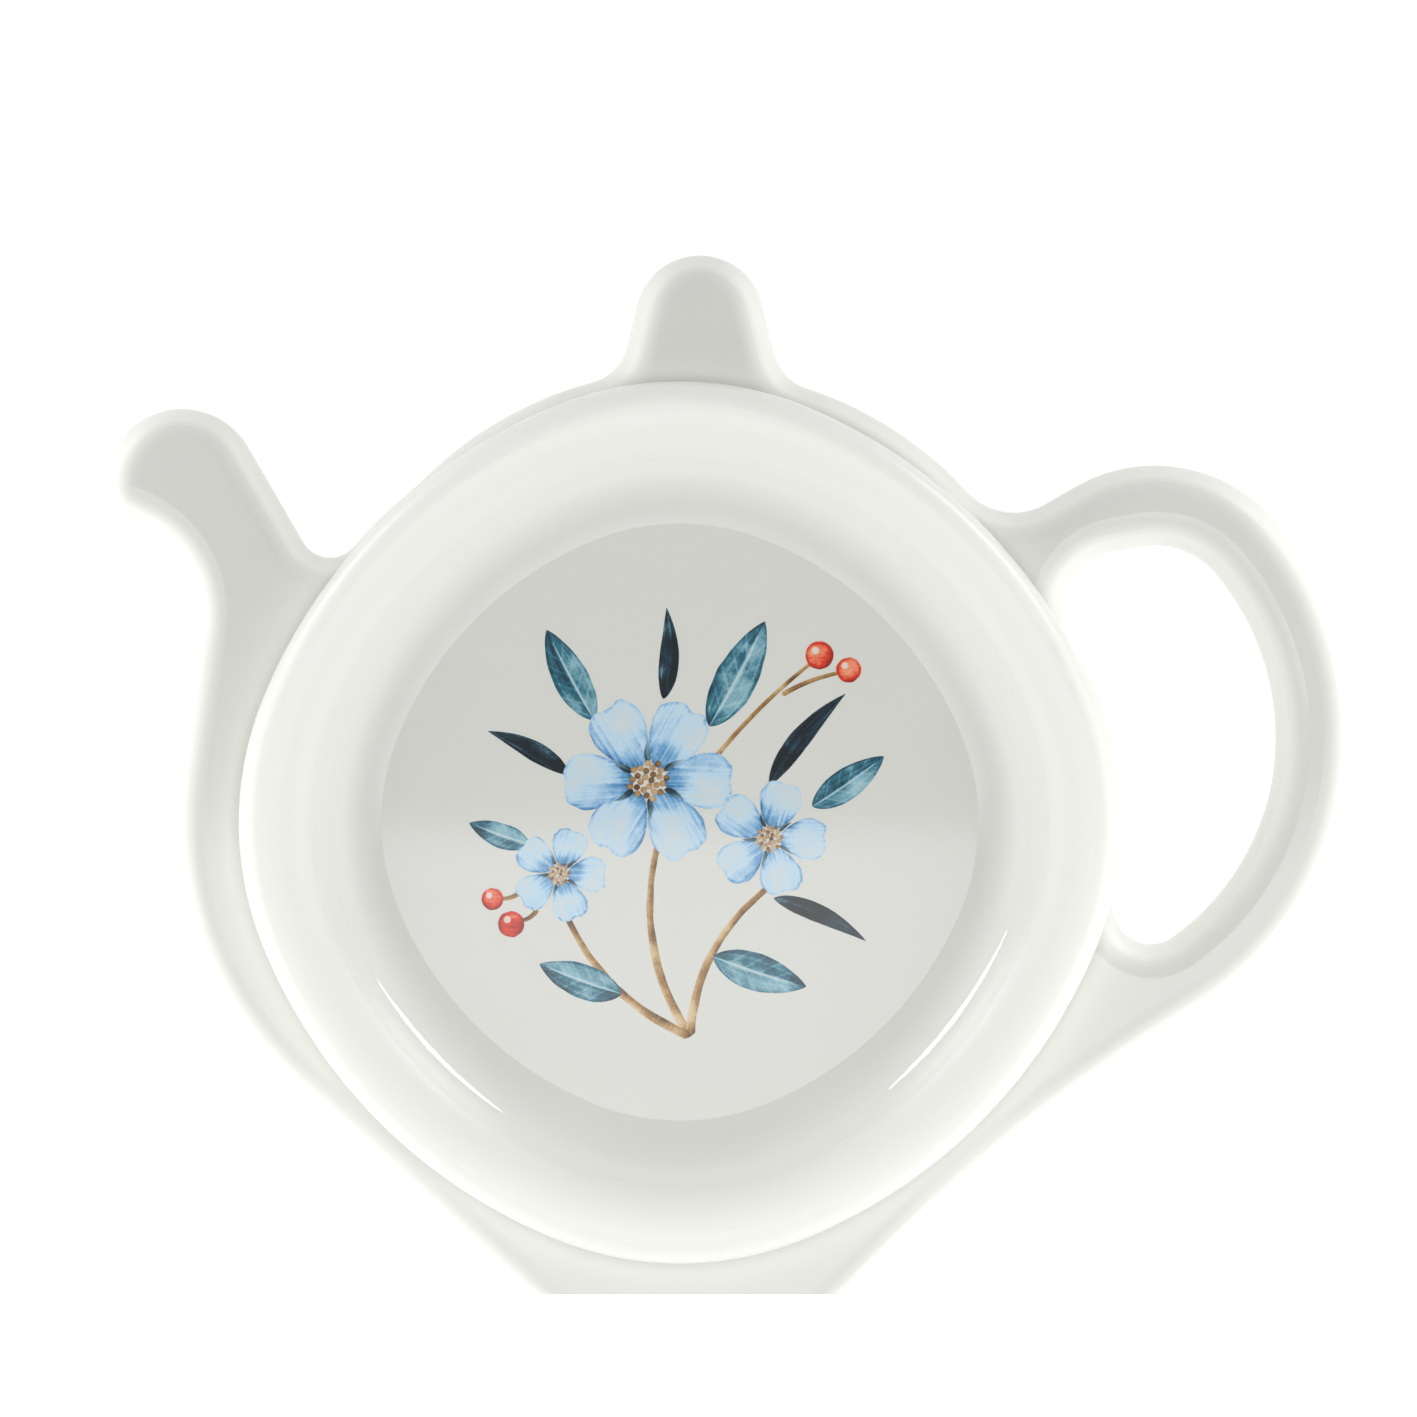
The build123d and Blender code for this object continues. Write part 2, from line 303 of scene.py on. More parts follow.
class TeaRestSettings(bpy.types.PropertyGroup):
    """All settings of the tea bag rest"""

    china: PointerProperty(type=ChinaSettings, name="China", description="Colours of the china")
    posy: PointerProperty(type=PosySettings, name="Posy", description="Colours of the print")
    stage: PointerProperty(type=StageSettings, name="Stage", description="Floor, light and camera")


def linear(hex_colour):
    """An sRGB hex colour as linear red, green, blue and alpha."""
    levels = [int(hex_colour[i : i + 2], 16) / 255 for i in (1, 3, 5)]
    return [c / 12.92 if c <= 0.04045 else ((c + 0.055) / 1.055) ** 2.4 for c in levels] + [1.0]


def smooth(low, high, value):
    """A smooth rise from 0 at low to 1 at high; low may be the larger."""
    t = min(1.0, max(0.0, (value - low) / (high - low)))
    return t * t * (3 - 2 * t)


def add_node(tree, kind, inputs=(), **settings):
    """Add a node with its settings; inputs are (socket, value or output socket) pairs."""
    node = tree.nodes.new(kind)
    for name, value in settings.items():
        setattr(node, name, value)
    for socket, value in inputs:
        if isinstance(value, bpy.types.NodeSocket):
            tree.links.new(value, node.inputs[socket])
        else:
            node.inputs[socket].default_value = value
    return node


def new_material(name):
    """An empty material with its surface shader, as (material, node tree, shader)."""
    material = bpy.data.materials.new(name)
    material.use_nodes = True
    tree = material.node_tree
    tree.nodes.clear()
    shader = add_node(tree, "ShaderNodeBsdfPrincipled")
    add_node(tree, "ShaderNodeOutputMaterial", [("Surface", shader.outputs["BSDF"])])
    return material, tree, shader


def set_glaze(shader):
    """The clear glaze over the china and its print: hard, glassy and nearly mirror smooth."""
    shader.inputs["Roughness"].default_value = 0.03
    shader.inputs["IOR"].default_value = 1.5


# Pressed bone china under a dipped clear glaze: a faintly greenish white. The glaze gathers on the
# floor of the well and on the flat of the limbs, where it mirrors like glass, with slow waves where
# it flowed. The grey laid there is partly the thick glaze and partly painted shade, darkening the
# well's floor and the limbs' flats against the whiter rim and edges. The glaze draws thin over the
# rim and every edge, where the china shows whiter and it is satin, so that highlights are soft
# there.
def glazed_china(name, heights, reaches, satin_heights, satin_roughness):
    """The pairs say where the glaze lies thin and where thick, and where it is satin and glossy.
    The grey where it lies thick is partly painted shade.
    """
    settings = bpy.context.scene.tea_rest.china
    material, tree, shader = new_material(name)
    set_glaze(shader)
    cloud_size, mottle_low, mottle_high = 16 * MM, 0.85, 1.15
    wave_size, wave_height = 9 * MM, 0.001 * MM
    place = add_node(tree, "ShaderNodeTexCoord").outputs["Object"]
    height = add_node(tree, "ShaderNodeSeparateXYZ", [(0, place)]).outputs["Z"]
    flat = add_node(
        tree, "ShaderNodeVectorMath", [(0, place), (1, (1.0, 1.0, 0.0))], operation="MULTIPLY"
    )
    reach = add_node(
        tree, "ShaderNodeVectorMath", [(0, flat.outputs[0])], operation="LENGTH"
    ).outputs["Value"]
    # Where the glaze lies thick, which is also where the painted shade falls: low in the well and
    # on the limbs' flats
    low, inside = (
        add_node(
            tree,
            "ShaderNodeMapRange",
            [("Value", value), ("From Min", thin), ("From Max", thick)],
        ).outputs[0]
        for value, (thin, thick) in ((height, heights), (reach, reaches))
    )
    depth = add_node(tree, "ShaderNodeMath", [(0, low), (1, inside)], operation="MULTIPLY")
    cloud = add_node(
        tree, "ShaderNodeTexNoise", [("Vector", place), ("Scale", 1 / cloud_size), ("Detail", 2.0)]
    )
    mottle = add_node(
        tree,
        "ShaderNodeMapRange",
        [("Value", cloud.outputs["Fac"]), ("To Min", mottle_low), ("To Max", mottle_high)],
    )
    pool = add_node(
        tree,
        "ShaderNodeMath",
        [(0, depth.outputs[0]), (1, mottle.outputs[0])],
        operation="MULTIPLY",
        use_clamp=True,
    )
    # Painted shade, partly real pooled glaze: grey on the well's floor and the limbs' flats, white
    # at the edges
    colour = add_node(
        tree,
        "ShaderNodeMix",
        [
            ("Factor", pool.outputs[0]),
            (6, linear(settings.body_colour)),
            (7, linear(settings.pooled_glaze_and_shade_colour)),
        ],
        data_type="RGBA",
    )
    tree.links.new(colour.outputs[2], shader.inputs["Base Color"])
    satin_z, gloss_z = satin_heights
    satin = add_node(
        tree,
        "ShaderNodeMapRange",
        [
            ("Value", height),
            ("From Min", satin_z),
            ("From Max", gloss_z),
            ("To Min", satin_roughness),
            ("To Max", shader.inputs["Roughness"].default_value),
        ],
    )
    tree.links.new(satin.outputs[0], shader.inputs["Roughness"])
    wave = add_node(
        tree, "ShaderNodeTexNoise", [("Vector", place), ("Scale", 1 / wave_size), ("Detail", 0.0)]
    )
    bump = add_node(
        tree,
        "ShaderNodeBump",
        [("Strength", 1.0), ("Distance", wave_height), ("Height", wave.outputs["Fac"])],
    )
    tree.links.new(bump.outputs["Normal"], shader.inputs["Normal"])
    return material


# Biscuit china, wiped bare of glaze and fired: chalky and warm, finely gritty, with grey rub marks.
def biscuit_china():
    settings = bpy.context.scene.tea_rest.china
    material, tree, shader = new_material("bone_china_wiped_biscuit")
    shader.inputs["Roughness"].default_value = 0.85
    shader.inputs["IOR"].default_value = 1.5
    rub_size, rub_start, rub_full, rub_strength = 5 * MM, 0.52, 0.75, 0.8
    grit_size, grit_height, grit_strength = 0.25 * MM, 0.05 * MM, 0.6
    place = add_node(tree, "ShaderNodeTexCoord").outputs["Object"]
    rub, grit = (
        add_node(
            tree, "ShaderNodeTexNoise", [("Vector", place), ("Scale", 1 / size), ("Detail", detail)]
        ).outputs["Fac"]
        for size, detail in ((rub_size, 6.0), (grit_size, 2.0))
    )
    worn = add_node(
        tree,
        "ShaderNodeMapRange",
        [("Value", rub), ("From Min", rub_start), ("From Max", rub_full), ("To Max", rub_strength)],
    )
    colour = add_node(
        tree,
        "ShaderNodeMix",
        [
            ("Factor", worn.outputs[0]),
            (6, linear(settings.foot_colour)),
            (7, linear(settings.foot_rub_colour)),
        ],
        data_type="RGBA",
    )
    tree.links.new(colour.outputs[2], shader.inputs["Base Color"])
    bump = add_node(
        tree,
        "ShaderNodeBump",
        [("Strength", grit_strength), ("Distance", grit_height), ("Height", grit)],
    )
    tree.links.new(bump.outputs["Normal"], shader.inputs["Normal"])
    return material


# Fired enamel transfer under the glaze, brushed as a watercolour: a clear wash where the china
# shows through, deeper where it pooled, with brush streaks, soft clouds and a fine pigment grain.
def fired_enamel(name, pale, mid, deep, streaks):
    """The colours go from a thin wash to a pool; streaks is how strongly the brush shows."""
    china = bpy.context.scene.tea_rest.china
    material, tree, shader = new_material(name)
    set_glaze(shader)
    cloud_size, grain_size = 2.2 * MM, 0.3 * MM
    streak_length, streak_width = 6.0, 0.32  # in millimetres, as the brush layer is
    noise_low, noise_high = 0.3, 0.7
    pale_stop, mid_stop = 0.3, 0.62
    place = add_node(tree, "ShaderNodeTexCoord").outputs["Object"]
    depth = add_node(tree, "ShaderNodeAttribute", attribute_name="pigment").outputs["Fac"]
    brush = add_node(tree, "ShaderNodeAttribute", attribute_name="brush").outputs["Vector"]
    drawn = add_node(
        tree,
        "ShaderNodeVectorMath",
        [(0, brush), (1, (1 / streak_length, 1 / streak_width, 1.0))],
        operation="MULTIPLY",
    ).outputs["Vector"]
    for where, scale, detail, thinnest, fullest in (
        (place, 1 / cloud_size, 3.0, 0.55, 1.35),
        (drawn, 1.0, 2.0, 1 - streaks, 1 + streaks),
        (place, 1 / grain_size, 2.0, 0.9, 1.1),
    ):
        pattern = add_node(
            tree, "ShaderNodeTexNoise", [("Vector", where), ("Scale", scale), ("Detail", detail)]
        )
        share = add_node(
            tree,
            "ShaderNodeMapRange",
            [
                ("Value", pattern.outputs["Fac"]),
                ("From Min", noise_low),
                ("From Max", noise_high),
                ("To Min", thinnest),
                ("To Max", fullest),
            ],
        )
        depth = add_node(
            tree, "ShaderNodeMath", [(0, depth), (1, share.outputs[0])], operation="MULTIPLY"
        ).outputs[0]
    ramp = add_node(tree, "ShaderNodeValToRGB", [("Fac", depth)])
    stops = ramp.color_ramp.elements
    # Where the print thins it shows the floor's grey, with its painted shade
    stops[0].color = linear(china.pooled_glaze_and_shade_colour)
    stops[1].color = linear(deep)
    stops.new(pale_stop).color = linear(pale)
    stops.new(mid_stop).color = linear(mid)
    tree.links.new(ramp.outputs["Color"], shader.inputs["Base Color"])
    return material


def seen_directly(tree):
    """A socket that is 1 for camera, glossy and transmission rays, and 0 for the rest."""
    path = add_node(tree, "ShaderNodeLightPath")
    mirrored = add_node(
        tree,
        "ShaderNodeMath",
        [(0, path.outputs["Is Glossy Ray"]), (1, path.outputs["Is Transmission Ray"])],
        operation="MAXIMUM",
    )
    seen = add_node(
        tree,
        "ShaderNodeMath",
        [(0, path.outputs["Is Camera Ray"]), (1, mirrored.outputs[0])],
        operation="MAXIMUM",
    )
    return seen.outputs[0]


# Matt white card: a plain diffuse floor that keeps the shadow, and glows enough to show as white.
# Past the lamps it gets less light, and glows more to make up for it.
def white_card():
    settings = bpy.context.scene.tea_rest.stage
    lit_reach, unlit_reach = 0.1, 0.2
    material = bpy.data.materials.new("matt_white_card")
    material.use_nodes = True
    tree = material.node_tree
    tree.nodes.clear()
    seen = seen_directly(tree)
    card = add_node(tree, "ShaderNodeBsdfDiffuse", [("Color", linear(settings.floor_colour))])
    place = add_node(tree, "ShaderNodeTexCoord").outputs["Object"]
    reach = add_node(tree, "ShaderNodeVectorMath", [(0, place)], operation="LENGTH")
    shown = add_node(
        tree,
        "ShaderNodeMapRange",
        [
            ("Value", reach.outputs["Value"]),
            ("From Min", lit_reach),
            ("From Max", unlit_reach),
            ("To Min", settings.floor_glow),
            ("To Max", settings.far_glow),
        ],
    )
    glow = add_node(
        tree, "ShaderNodeMix", [(0, seen), (2, settings.table_light), (3, shown.outputs[0])]
    )
    light = add_node(tree, "ShaderNodeEmission", [("Strength", glow.outputs[0])])
    both = add_node(tree, "ShaderNodeAddShader", [(0, card.outputs[0]), (1, light.outputs[0])])
    add_node(tree, "ShaderNodeOutputMaterial", [("Surface", both.outputs[0])])
    return material


class BrushSheet:
    """One colour of the print, gathered as touches of the brush that lie on the bowl's floor."""

    def __init__(self, name):
        self.name = name
        self.mesh = bmesh.new()
        self.pigment = self.mesh.verts.layers.float.new("pigment")
        self.brush = self.mesh.verts.layers.float_vector.new("brush")
        self.touches = 0

    def start_coat(self, coat):
        """Lay the next touches one over another in a coat."""
        self.height = floor_z + COATS.index(coat) * coat_height

    def lay(self, rows, closed=False):
        """Lay one touch of quads, from rows of (x, y, pigment, along, across) in millimetres."""
        self.touches += 1
        self.height += touch_height
        grid = []
        for row in rows:
            line = []
            for x, y, pigment, along, across in row:
                vertex = self.mesh.verts.new((x * MM, y * MM, self.height))
                vertex[self.pigment] = pigment
                vertex[self.brush] = (along, across, TOUCH_SHIFT * self.touches)
                line.append(vertex)
            grid.append(line + line[:1] if closed else line)
        for lower, upper in zip(grid, grid[1:]):
            for i in range(len(lower) - 1):
                self.mesh.faces.new((lower[i], lower[i + 1], upper[i + 1], upper[i]))

    def finish(self, node, material):
        """Close the touches down to the floor and show them in place of the solid node."""
        edge = [e for e in self.mesh.edges if e.is_boundary]
        skirt = bmesh.ops.extrude_edge_only(self.mesh, edges=edge)
        for vertex in (v for v in skirt["geom"] if isinstance(v, bmesh.types.BMVert)):
            vertex.co.z = floor_z
        bmesh.ops.recalc_face_normals(self.mesh, faces=self.mesh.faces)
        data = bpy.data.meshes.new(self.name)
        self.mesh.to_mesh(data)
        self.mesh.free()
        data.materials.append(material)
        piece = bpy.data.objects.new(self.name, data)
        bpy.context.scene.collection.objects.link(piece)
        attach(piece, "root")
        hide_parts(node)


def turned(origin, direction):
    """A function from (along, across) to (x, y), for a start and a direction in radians."""
    ox, oy = origin
    c, s = cos(direction), sin(direction)
    return lambda along, across: (ox + along * c - across * s, oy + along * s + across * c)


def bowed(foot, head, bow):
    """A spine from foot to head that bows out sideways in the middle."""
    foot, head = Vector(foot), Vector(head)
    run = head - foot
    side = Vector((-run.y, run.x)).normalized()
    return lambda u: foot + run * u + side * (4 * bow * u * (1 - u))


def leaf_spine(foot, direction, length, bow):
    """A bowed spine of a length from a leaf's foot, in a direction in degrees."""
    ahead = Vector((cos(radians(direction)), sin(radians(direction))))
    return bowed(foot, Vector(foot) + ahead * length, bow)


def blot(sheet, to_sheet, edge, middle, pigment, rings=14, spokes=64):
    """A touch grown from its middle to its edge.

    The pigment takes the share of the way to the edge, and the places along and across.
    """
    pinhole = 0.002  # left in the middle, so that the quads there have no point in common
    rows = []
    for ring in range(rings + 1):
        share = max(ring / rings, pinhole)
        row = []
        for spoke in range(spokes):
            along, across = edge(2 * pi * spoke / spokes)
            along = middle[0] + share * (along - middle[0])
            across = middle[1] + share * (across - middle[1])
            x, y = to_sheet(along, across)
            row.append((x, y, pigment(share, along, across), along, across))
        rows.append(row)
    sheet.lay(rows, closed=True)


def stroke(sheet, spine, half_width, pigment, rows=48, columns=20, wobble=0.05):
    """A touch drawn along a spine from 0 to 1; pigment takes the shares along and across."""
    look_ahead = 0.01
    wobble_scale, side_shift = 0.6, 3.0  # the shift lets the two edges wobble apart
    lines = []
    length = sum(
        (Vector(spine((i + 1) / rows)) - Vector(spine(i / rows))).length for i in range(rows)
    )
    for i in range(rows + 1):
        u = i / rows
        here = Vector(spine(u))
        before, after = spine(max(0.0, u - look_ahead)), spine(min(1.0, u + look_ahead))
        ahead = (Vector(after) - Vector(before)).normalized()
        side = Vector((-ahead.y, ahead.x))
        line = []
        for j in range(columns + 1):
            v = 2 * j / columns - 1
            place = (here.x * wobble_scale, here.y * wobble_scale, side_shift * (v > 0))
            rough = 1 + wobble * noise.noise(place)
            point = here + side * (half_width(u) * v * rough)
            line.append((point.x, point.y, pigment(u, v), u * length, v * half_width(0.5)))
        lines.append(line)
    sheet.lay(lines)


def paint_petals(sheet):
    """Loose blue petals round each bloom, pale in the middle and pooled at root and edge."""
    root_share, tip_share, width_share = 0.17, 0.97, 0.40  # against the bloom's reach
    full_bloom, narrowing = 6, 0.6  # a bloom with fewer petals than a full one has wider ones
    turn_wander, tip_wander, ripple_depth = 0.10, 0.05, 0.05
    dent_depth, dent_angle, middle_share = 0.07, 0.28, 0.55
    wash, root_pool, rim_pool, shade = 0.2, 0.42, 0.22, 0.2
    sheet.start_coat("petals")
    for number, (centre, reach, petals) in enumerate(BLOOMS):
        for petal in range(petals):
            wander = noise.noise((petal * 1.7, number * 3.1, 0.5))
            turn = 2 * pi * petal / petals + turn_wander * wander
            root, tip = root_share * reach, reach * (tip_share + tip_wander * wander)
            length, width = tip - root, width_share * reach * (full_bloom / petals) ** narrowing
            foot = turned(centre, turn)(root, 0.0)

            def edge(angle):
                along = length * (0.5 - 0.5 * cos(angle))
                across = width * sin(angle) * (0.5 + 0.5 * along / length)
                wave = noise.noise((3 * cos(angle), 3 * sin(angle), petal + 10 * number))
                ripple = 1 + ripple_depth * wave
                dent = dent_depth * length * exp(-(((angle - pi) / dent_angle) ** 2))
                return along * ripple - dent, across * ripple

            def pigment(share, along, across):
                at_root = smooth(0.55, 0.05, along / length)
                at_rim = smooth(0.86, 0.97, share)
                shaded = smooth(-0.2, 0.9, across / width)
                return wash + root_pool * at_root + rim_pool * at_rim + shade * shaded

            blot(sheet, turned(foot, turn), edge, (middle_share * length, 0.0), pigment)


def paint_leaves(sheet):
    """Broad teal leaves: one half darker, a thin pale midrib and light side veins."""
    bow_share, fullness = 0.06 / 4, 0.85
    dark_half, light_half = 0.72, 0.45
    tip_pool, rim_pool, foot_pool = 0.25, 0.2, 0.15
    rib_width, rib_paleness = 0.07, 0.75
    veins, vein_slant, vein_sharpness, vein_paleness = 6, 1.1, 10, 0.3
    sheet.start_coat("leaves")
    for number, (foot, direction, length, width) in enumerate(BROAD_LEAVES):
        spine = leaf_spine(foot, direction, length, bow_share * length * (1 if number % 2 else -1))

        def half_width(u):
            return width / 2 * max(0.0, 1 - (2 * u**fullness - 1) ** 2) ** fullness

        def pigment(u, v):
            midrib = exp(-((v / rib_width) ** 2)) * smooth(1.0, 0.75, u)
            vein = max(0.0, cos(2 * pi * (veins * u - vein_slant * abs(v)))) ** vein_sharpness
            half = dark_half if v > 0 else light_half
            pool = tip_pool * smooth(0.55, 1.0, u) + rim_pool * smooth(0.75, 1.0, abs(v))
            pool += foot_pool * smooth(0.2, 0.0, u)
            return (half + pool) * (1 - rib_paleness * midrib) * (1 - vein_paleness * vein)

        stroke(sheet, spine, half_width, pigment, rows=72, columns=32)


def paint_strokes(sheet):
    """Slim dark leaves in one full brush stroke each, and short dark touches between the petals."""
    leaf_bow, belly, fullness = 0.05, 0.75, 0.9
    ink, tip_fade, rim_pool = 0.95, 0.35, 0.15
    sheet.start_coat("slim leaves")
    for number, (foot, direction, length, width) in enumerate(SLIM_LEAVES):
        spine = leaf_spine(foot, direction, length, leaf_bow * length * (1 if number % 2 else -1))

        def half_width(u):
            return width / 2 * max(0.0, sin(pi * u**belly)) ** fullness

        def pigment(u, v):
            return ink - tip_fade * smooth(0.5, 1.0, u) + rim_pool * smooth(0.7, 1.0, abs(v))

        stroke(sheet, spine, half_width, pigment)

    near_share, far_share, width_share, touch_bow = 0.2, 0.46, 0.035, 0.02
    sheet.start_coat("touches")
    for centre, reach, petals in BLOOMS:
        for petal in range(petals):
            ray = turned(centre, 2 * pi * (petal + 0.5) / petals)
            stroke(
                sheet,
                bowed(ray(near_share * reach, 0.0), ray(far_share * reach, 0.0), touch_bow * reach),
                lambda u: width_share * reach * max(0.0, sin(pi * u**0.6)),
                lambda u, v: 0.8 - 0.45 * u,
                rows=16,
                columns=6,
            )


def paint_berries(sheet):
    """Round red berries, darker at the edge, each with a bare spot where the light catches it."""
    ripple_depth, spot_x, spot_y, spot_bareness = 0.06, -0.3, 0.35, 0.92
    wash, rim_pool, top_fade = 0.6, 0.3, 0.15
    sheet.start_coat("petals")
    for number, (centre, radius) in enumerate(BERRIES):

        def edge(angle):
            wave = noise.noise((2 * cos(angle), 2 * sin(angle), 5.0 + number))
            ripple = 1 + ripple_depth * wave
            return radius * ripple * cos(angle), radius * ripple * sin(angle)

        def pigment(share, along, across):
            spot = smooth(0.34, 0.2, hypot(along / radius - spot_x, across / radius - spot_y))
            colour = wash + rim_pool * smooth(0.6, 1.0, share) - top_fade * across / radius
            return colour * (1 - spot_bareness * spot)

        blot(sheet, turned(centre, 0.0), edge, (0.0, 0.0), pigment, rings=16, spokes=40)


def paint_stems(sheet):
    """Ochre stems from one foot, twigs to the berries and a spiral of stamens in each bloom."""
    sheet.start_coat("stems")
    for (foot, head), start in zip(TWIGS, TWIG_STARTS):
        twig = bowed(foot, head, TWIG_BOW)
        stroke(
            sheet,
            lambda u: twig(start + (1.0 - start) * u),
            lambda u: TWIG_WIDTH / 2 * (1.0 - 0.3 * u) * smooth(0.0, 0.04, u + 0.01),
            lambda u, v: 0.7 - 0.15 * v,
            rows=32,
            columns=6,
        )
    for head, run in zip(STEM_HEADS, STEM_RUNS):
        stem = bowed(STEM_FOOT, head, STEM_BOW)
        stroke(
            sheet,
            lambda u: stem(run * u),
            lambda u: STEM_WIDTH / 2 * (1.0 - 0.4 * u) * smooth(0.0, 0.03, u + 0.004),
            lambda u, v: 0.6 - 0.2 * v + 0.2 * smooth(0.85, 1.0, u) + 0.2 * smooth(0.1, 0.0, u),
            rows=96,
            columns=8,
            wobble=0.2,
        )
    wash, rim_pool, dark_extra, dark_every, size_share = 0.5, 0.2, 0.35, 3, 0.16
    for centre, reach, _ in BLOOMS:
        heart = HEART_SHARE * reach
        size = heart * size_share
        sheet.start_coat("stamens")
        for stamen in range(STAMENS):
            out, turn = heart * sqrt((stamen + 0.5) / STAMENS), stamen * GOLDEN_TURN
            dark = dark_extra * (stamen % dark_every == 0)
            blot(
                sheet,
                turned(turned(centre, turn)(out, 0.0), turn),
                lambda angle: (size * cos(angle), size * sin(angle)),
                (0.0, 0.0),
                lambda share, along, across: wash + dark + rim_pool * smooth(0.6, 1.0, share),
                rings=3,
                spokes=12,
            )


def hang_lamp(name, place, aim, width, length, radiance, mirrored):
    """An area lamp that isn't seen itself.

    It is mirrored in the glaze, and then an oval whose highlight tapers, or else it lights the
    matt surfaces.
    """
    lamp = bpy.data.lights.new(name, "AREA")
    lamp.shape = "ELLIPSE" if mirrored else "RECTANGLE"
    lamp.size, lamp.size_y = width, length
    area = width * length * (pi / 4 if mirrored else 1.0)
    lamp.energy = radiance * pi * area
    box = bpy.data.objects.new(name, lamp)
    box.location = place
    box.rotation_euler = (Vector(aim) - Vector(place)).to_track_quat("-Z", "Y").to_euler()
    box.visible_camera = False
    box.visible_glossy = mirrored
    box.visible_diffuse = not mirrored
    bpy.context.scene.collection.objects.link(box)


class TEA_REST_OT_glaze_china(bpy.types.Operator):
    """Give the bowl and its limbs their glazed china"""

    bl_idname = "tea_rest.glaze_china"
    bl_label = "Glaze China"

    def execute(self, context):
        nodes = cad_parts
        # The thick-glaze pairs also lay the painted shade on the well's floor and the limbs' flats
        nodes["bowl"].material_slots[0].material = glazed_china(
            "bone_china_dipped_glaze",
            heights=(floor_z + 2.2 * MM, floor_z + 0.05 * MM),
            reaches=(rim_reach - 3.0 * MM, rim_reach - 6.0 * MM),
            satin_heights=(floor_z + 3.6 * MM, floor_z + 2.0 * MM),
            satin_roughness=0.3,
        )
        limb_china = glazed_china(
            "bone_china_dipped_glaze_limbs",
            heights=(limb_z - 0.8 * MM, limb_z),
            reaches=(rim_reach - 3.0 * MM, rim_reach - 2.0 * MM),
            satin_heights=(limb_z - 0.8 * MM, limb_z),
            satin_roughness=0.5,
        )
        for name in LIMB_NODES:
            nodes[name].material_slots[0].material = limb_china
        return {"FINISHED"}


class TEA_REST_OT_wipe_foot(bpy.types.Operator):
    """Give the foot ring its bare biscuit"""

    bl_idname = "tea_rest.wipe_foot"
    bl_label = "Wipe Foot"

    def execute(self, context):
        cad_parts["foot_ring"].material_slots[0].material = biscuit_china()
        return {"FINISHED"}


class TEA_REST_OT_paint_petals(bpy.types.Operator):
    """Paint the blue petals"""

    bl_idname = "tea_rest.paint_petals"
    bl_label = "Paint Petals"

    def execute(self, context):
        posy = context.scene.tea_rest.posy
        sheet = BrushSheet("petal_wash")
        paint_petals(sheet)
        colours = (posy.petal_pale, posy.petal_mid, posy.petal_deep)
        enamel = fired_enamel("blue_enamel_fired_wash", *colours, streaks=0.35)
        sheet.finish("print_petals", enamel)
        return {"FINISHED"}


class TEA_REST_OT_paint_leaves(bpy.types.Operator):
    """Paint the teal leaves"""

    bl_idname = "tea_rest.paint_leaves"
    bl_label = "Paint Leaves"

    def execute(self, context):
        posy = context.scene.tea_rest.posy
        sheet = BrushSheet("leaf_wash")
        paint_leaves(sheet)
        colours = (posy.leaf_pale, posy.leaf_mid, posy.leaf_deep)
        enamel = fired_enamel("teal_enamel_fired_wash", *colours, streaks=0.2)
        sheet.finish("print_leaves", enamel)
        return {"FINISHED"}


class TEA_REST_OT_paint_strokes(bpy.types.Operator):
    """Paint the dark strokes"""

    bl_idname = "tea_rest.paint_strokes"
    bl_label = "Paint Strokes"

    def execute(self, context):
        posy = context.scene.tea_rest.posy
        sheet = BrushSheet("ink_strokes")
        paint_strokes(sheet)
        colours = (posy.stroke_pale, posy.stroke_mid, posy.stroke_deep)
        enamel = fired_enamel("navy_enamel_fired_stroke", *colours, streaks=0.4)
        sheet.finish("print_strokes", enamel)
        return {"FINISHED"}


class TEA_REST_OT_paint_berries(bpy.types.Operator):
    """Paint the red berries"""

    bl_idname = "tea_rest.paint_berries"
    bl_label = "Paint Berries"

    def execute(self, context):
        posy = context.scene.tea_rest.posy
        sheet = BrushSheet("berry_wash")
        paint_berries(sheet)
        colours = (posy.berry_pale, posy.berry_mid, posy.berry_deep)
        enamel = fired_enamel("red_enamel_fired_wash", *colours, streaks=0.15)
        sheet.finish("print_berries", enamel)
        return {"FINISHED"}


class TEA_REST_OT_paint_stems(bpy.types.Operator):
    """Paint the ochre stems and stamens"""

    bl_idname = "tea_rest.paint_stems"
    bl_label = "Paint Stems"

    def execute(self, context):
        posy = context.scene.tea_rest.posy
        sheet = BrushSheet("stem_strokes")
        paint_stems(sheet)
        colours = (posy.stem_pale, posy.stem_mid, posy.stem_deep)
        enamel = fired_enamel("ochre_enamel_fired_stroke", *colours, streaks=0.12)
        sheet.finish("print_stems", enamel)
        return {"FINISHED"}


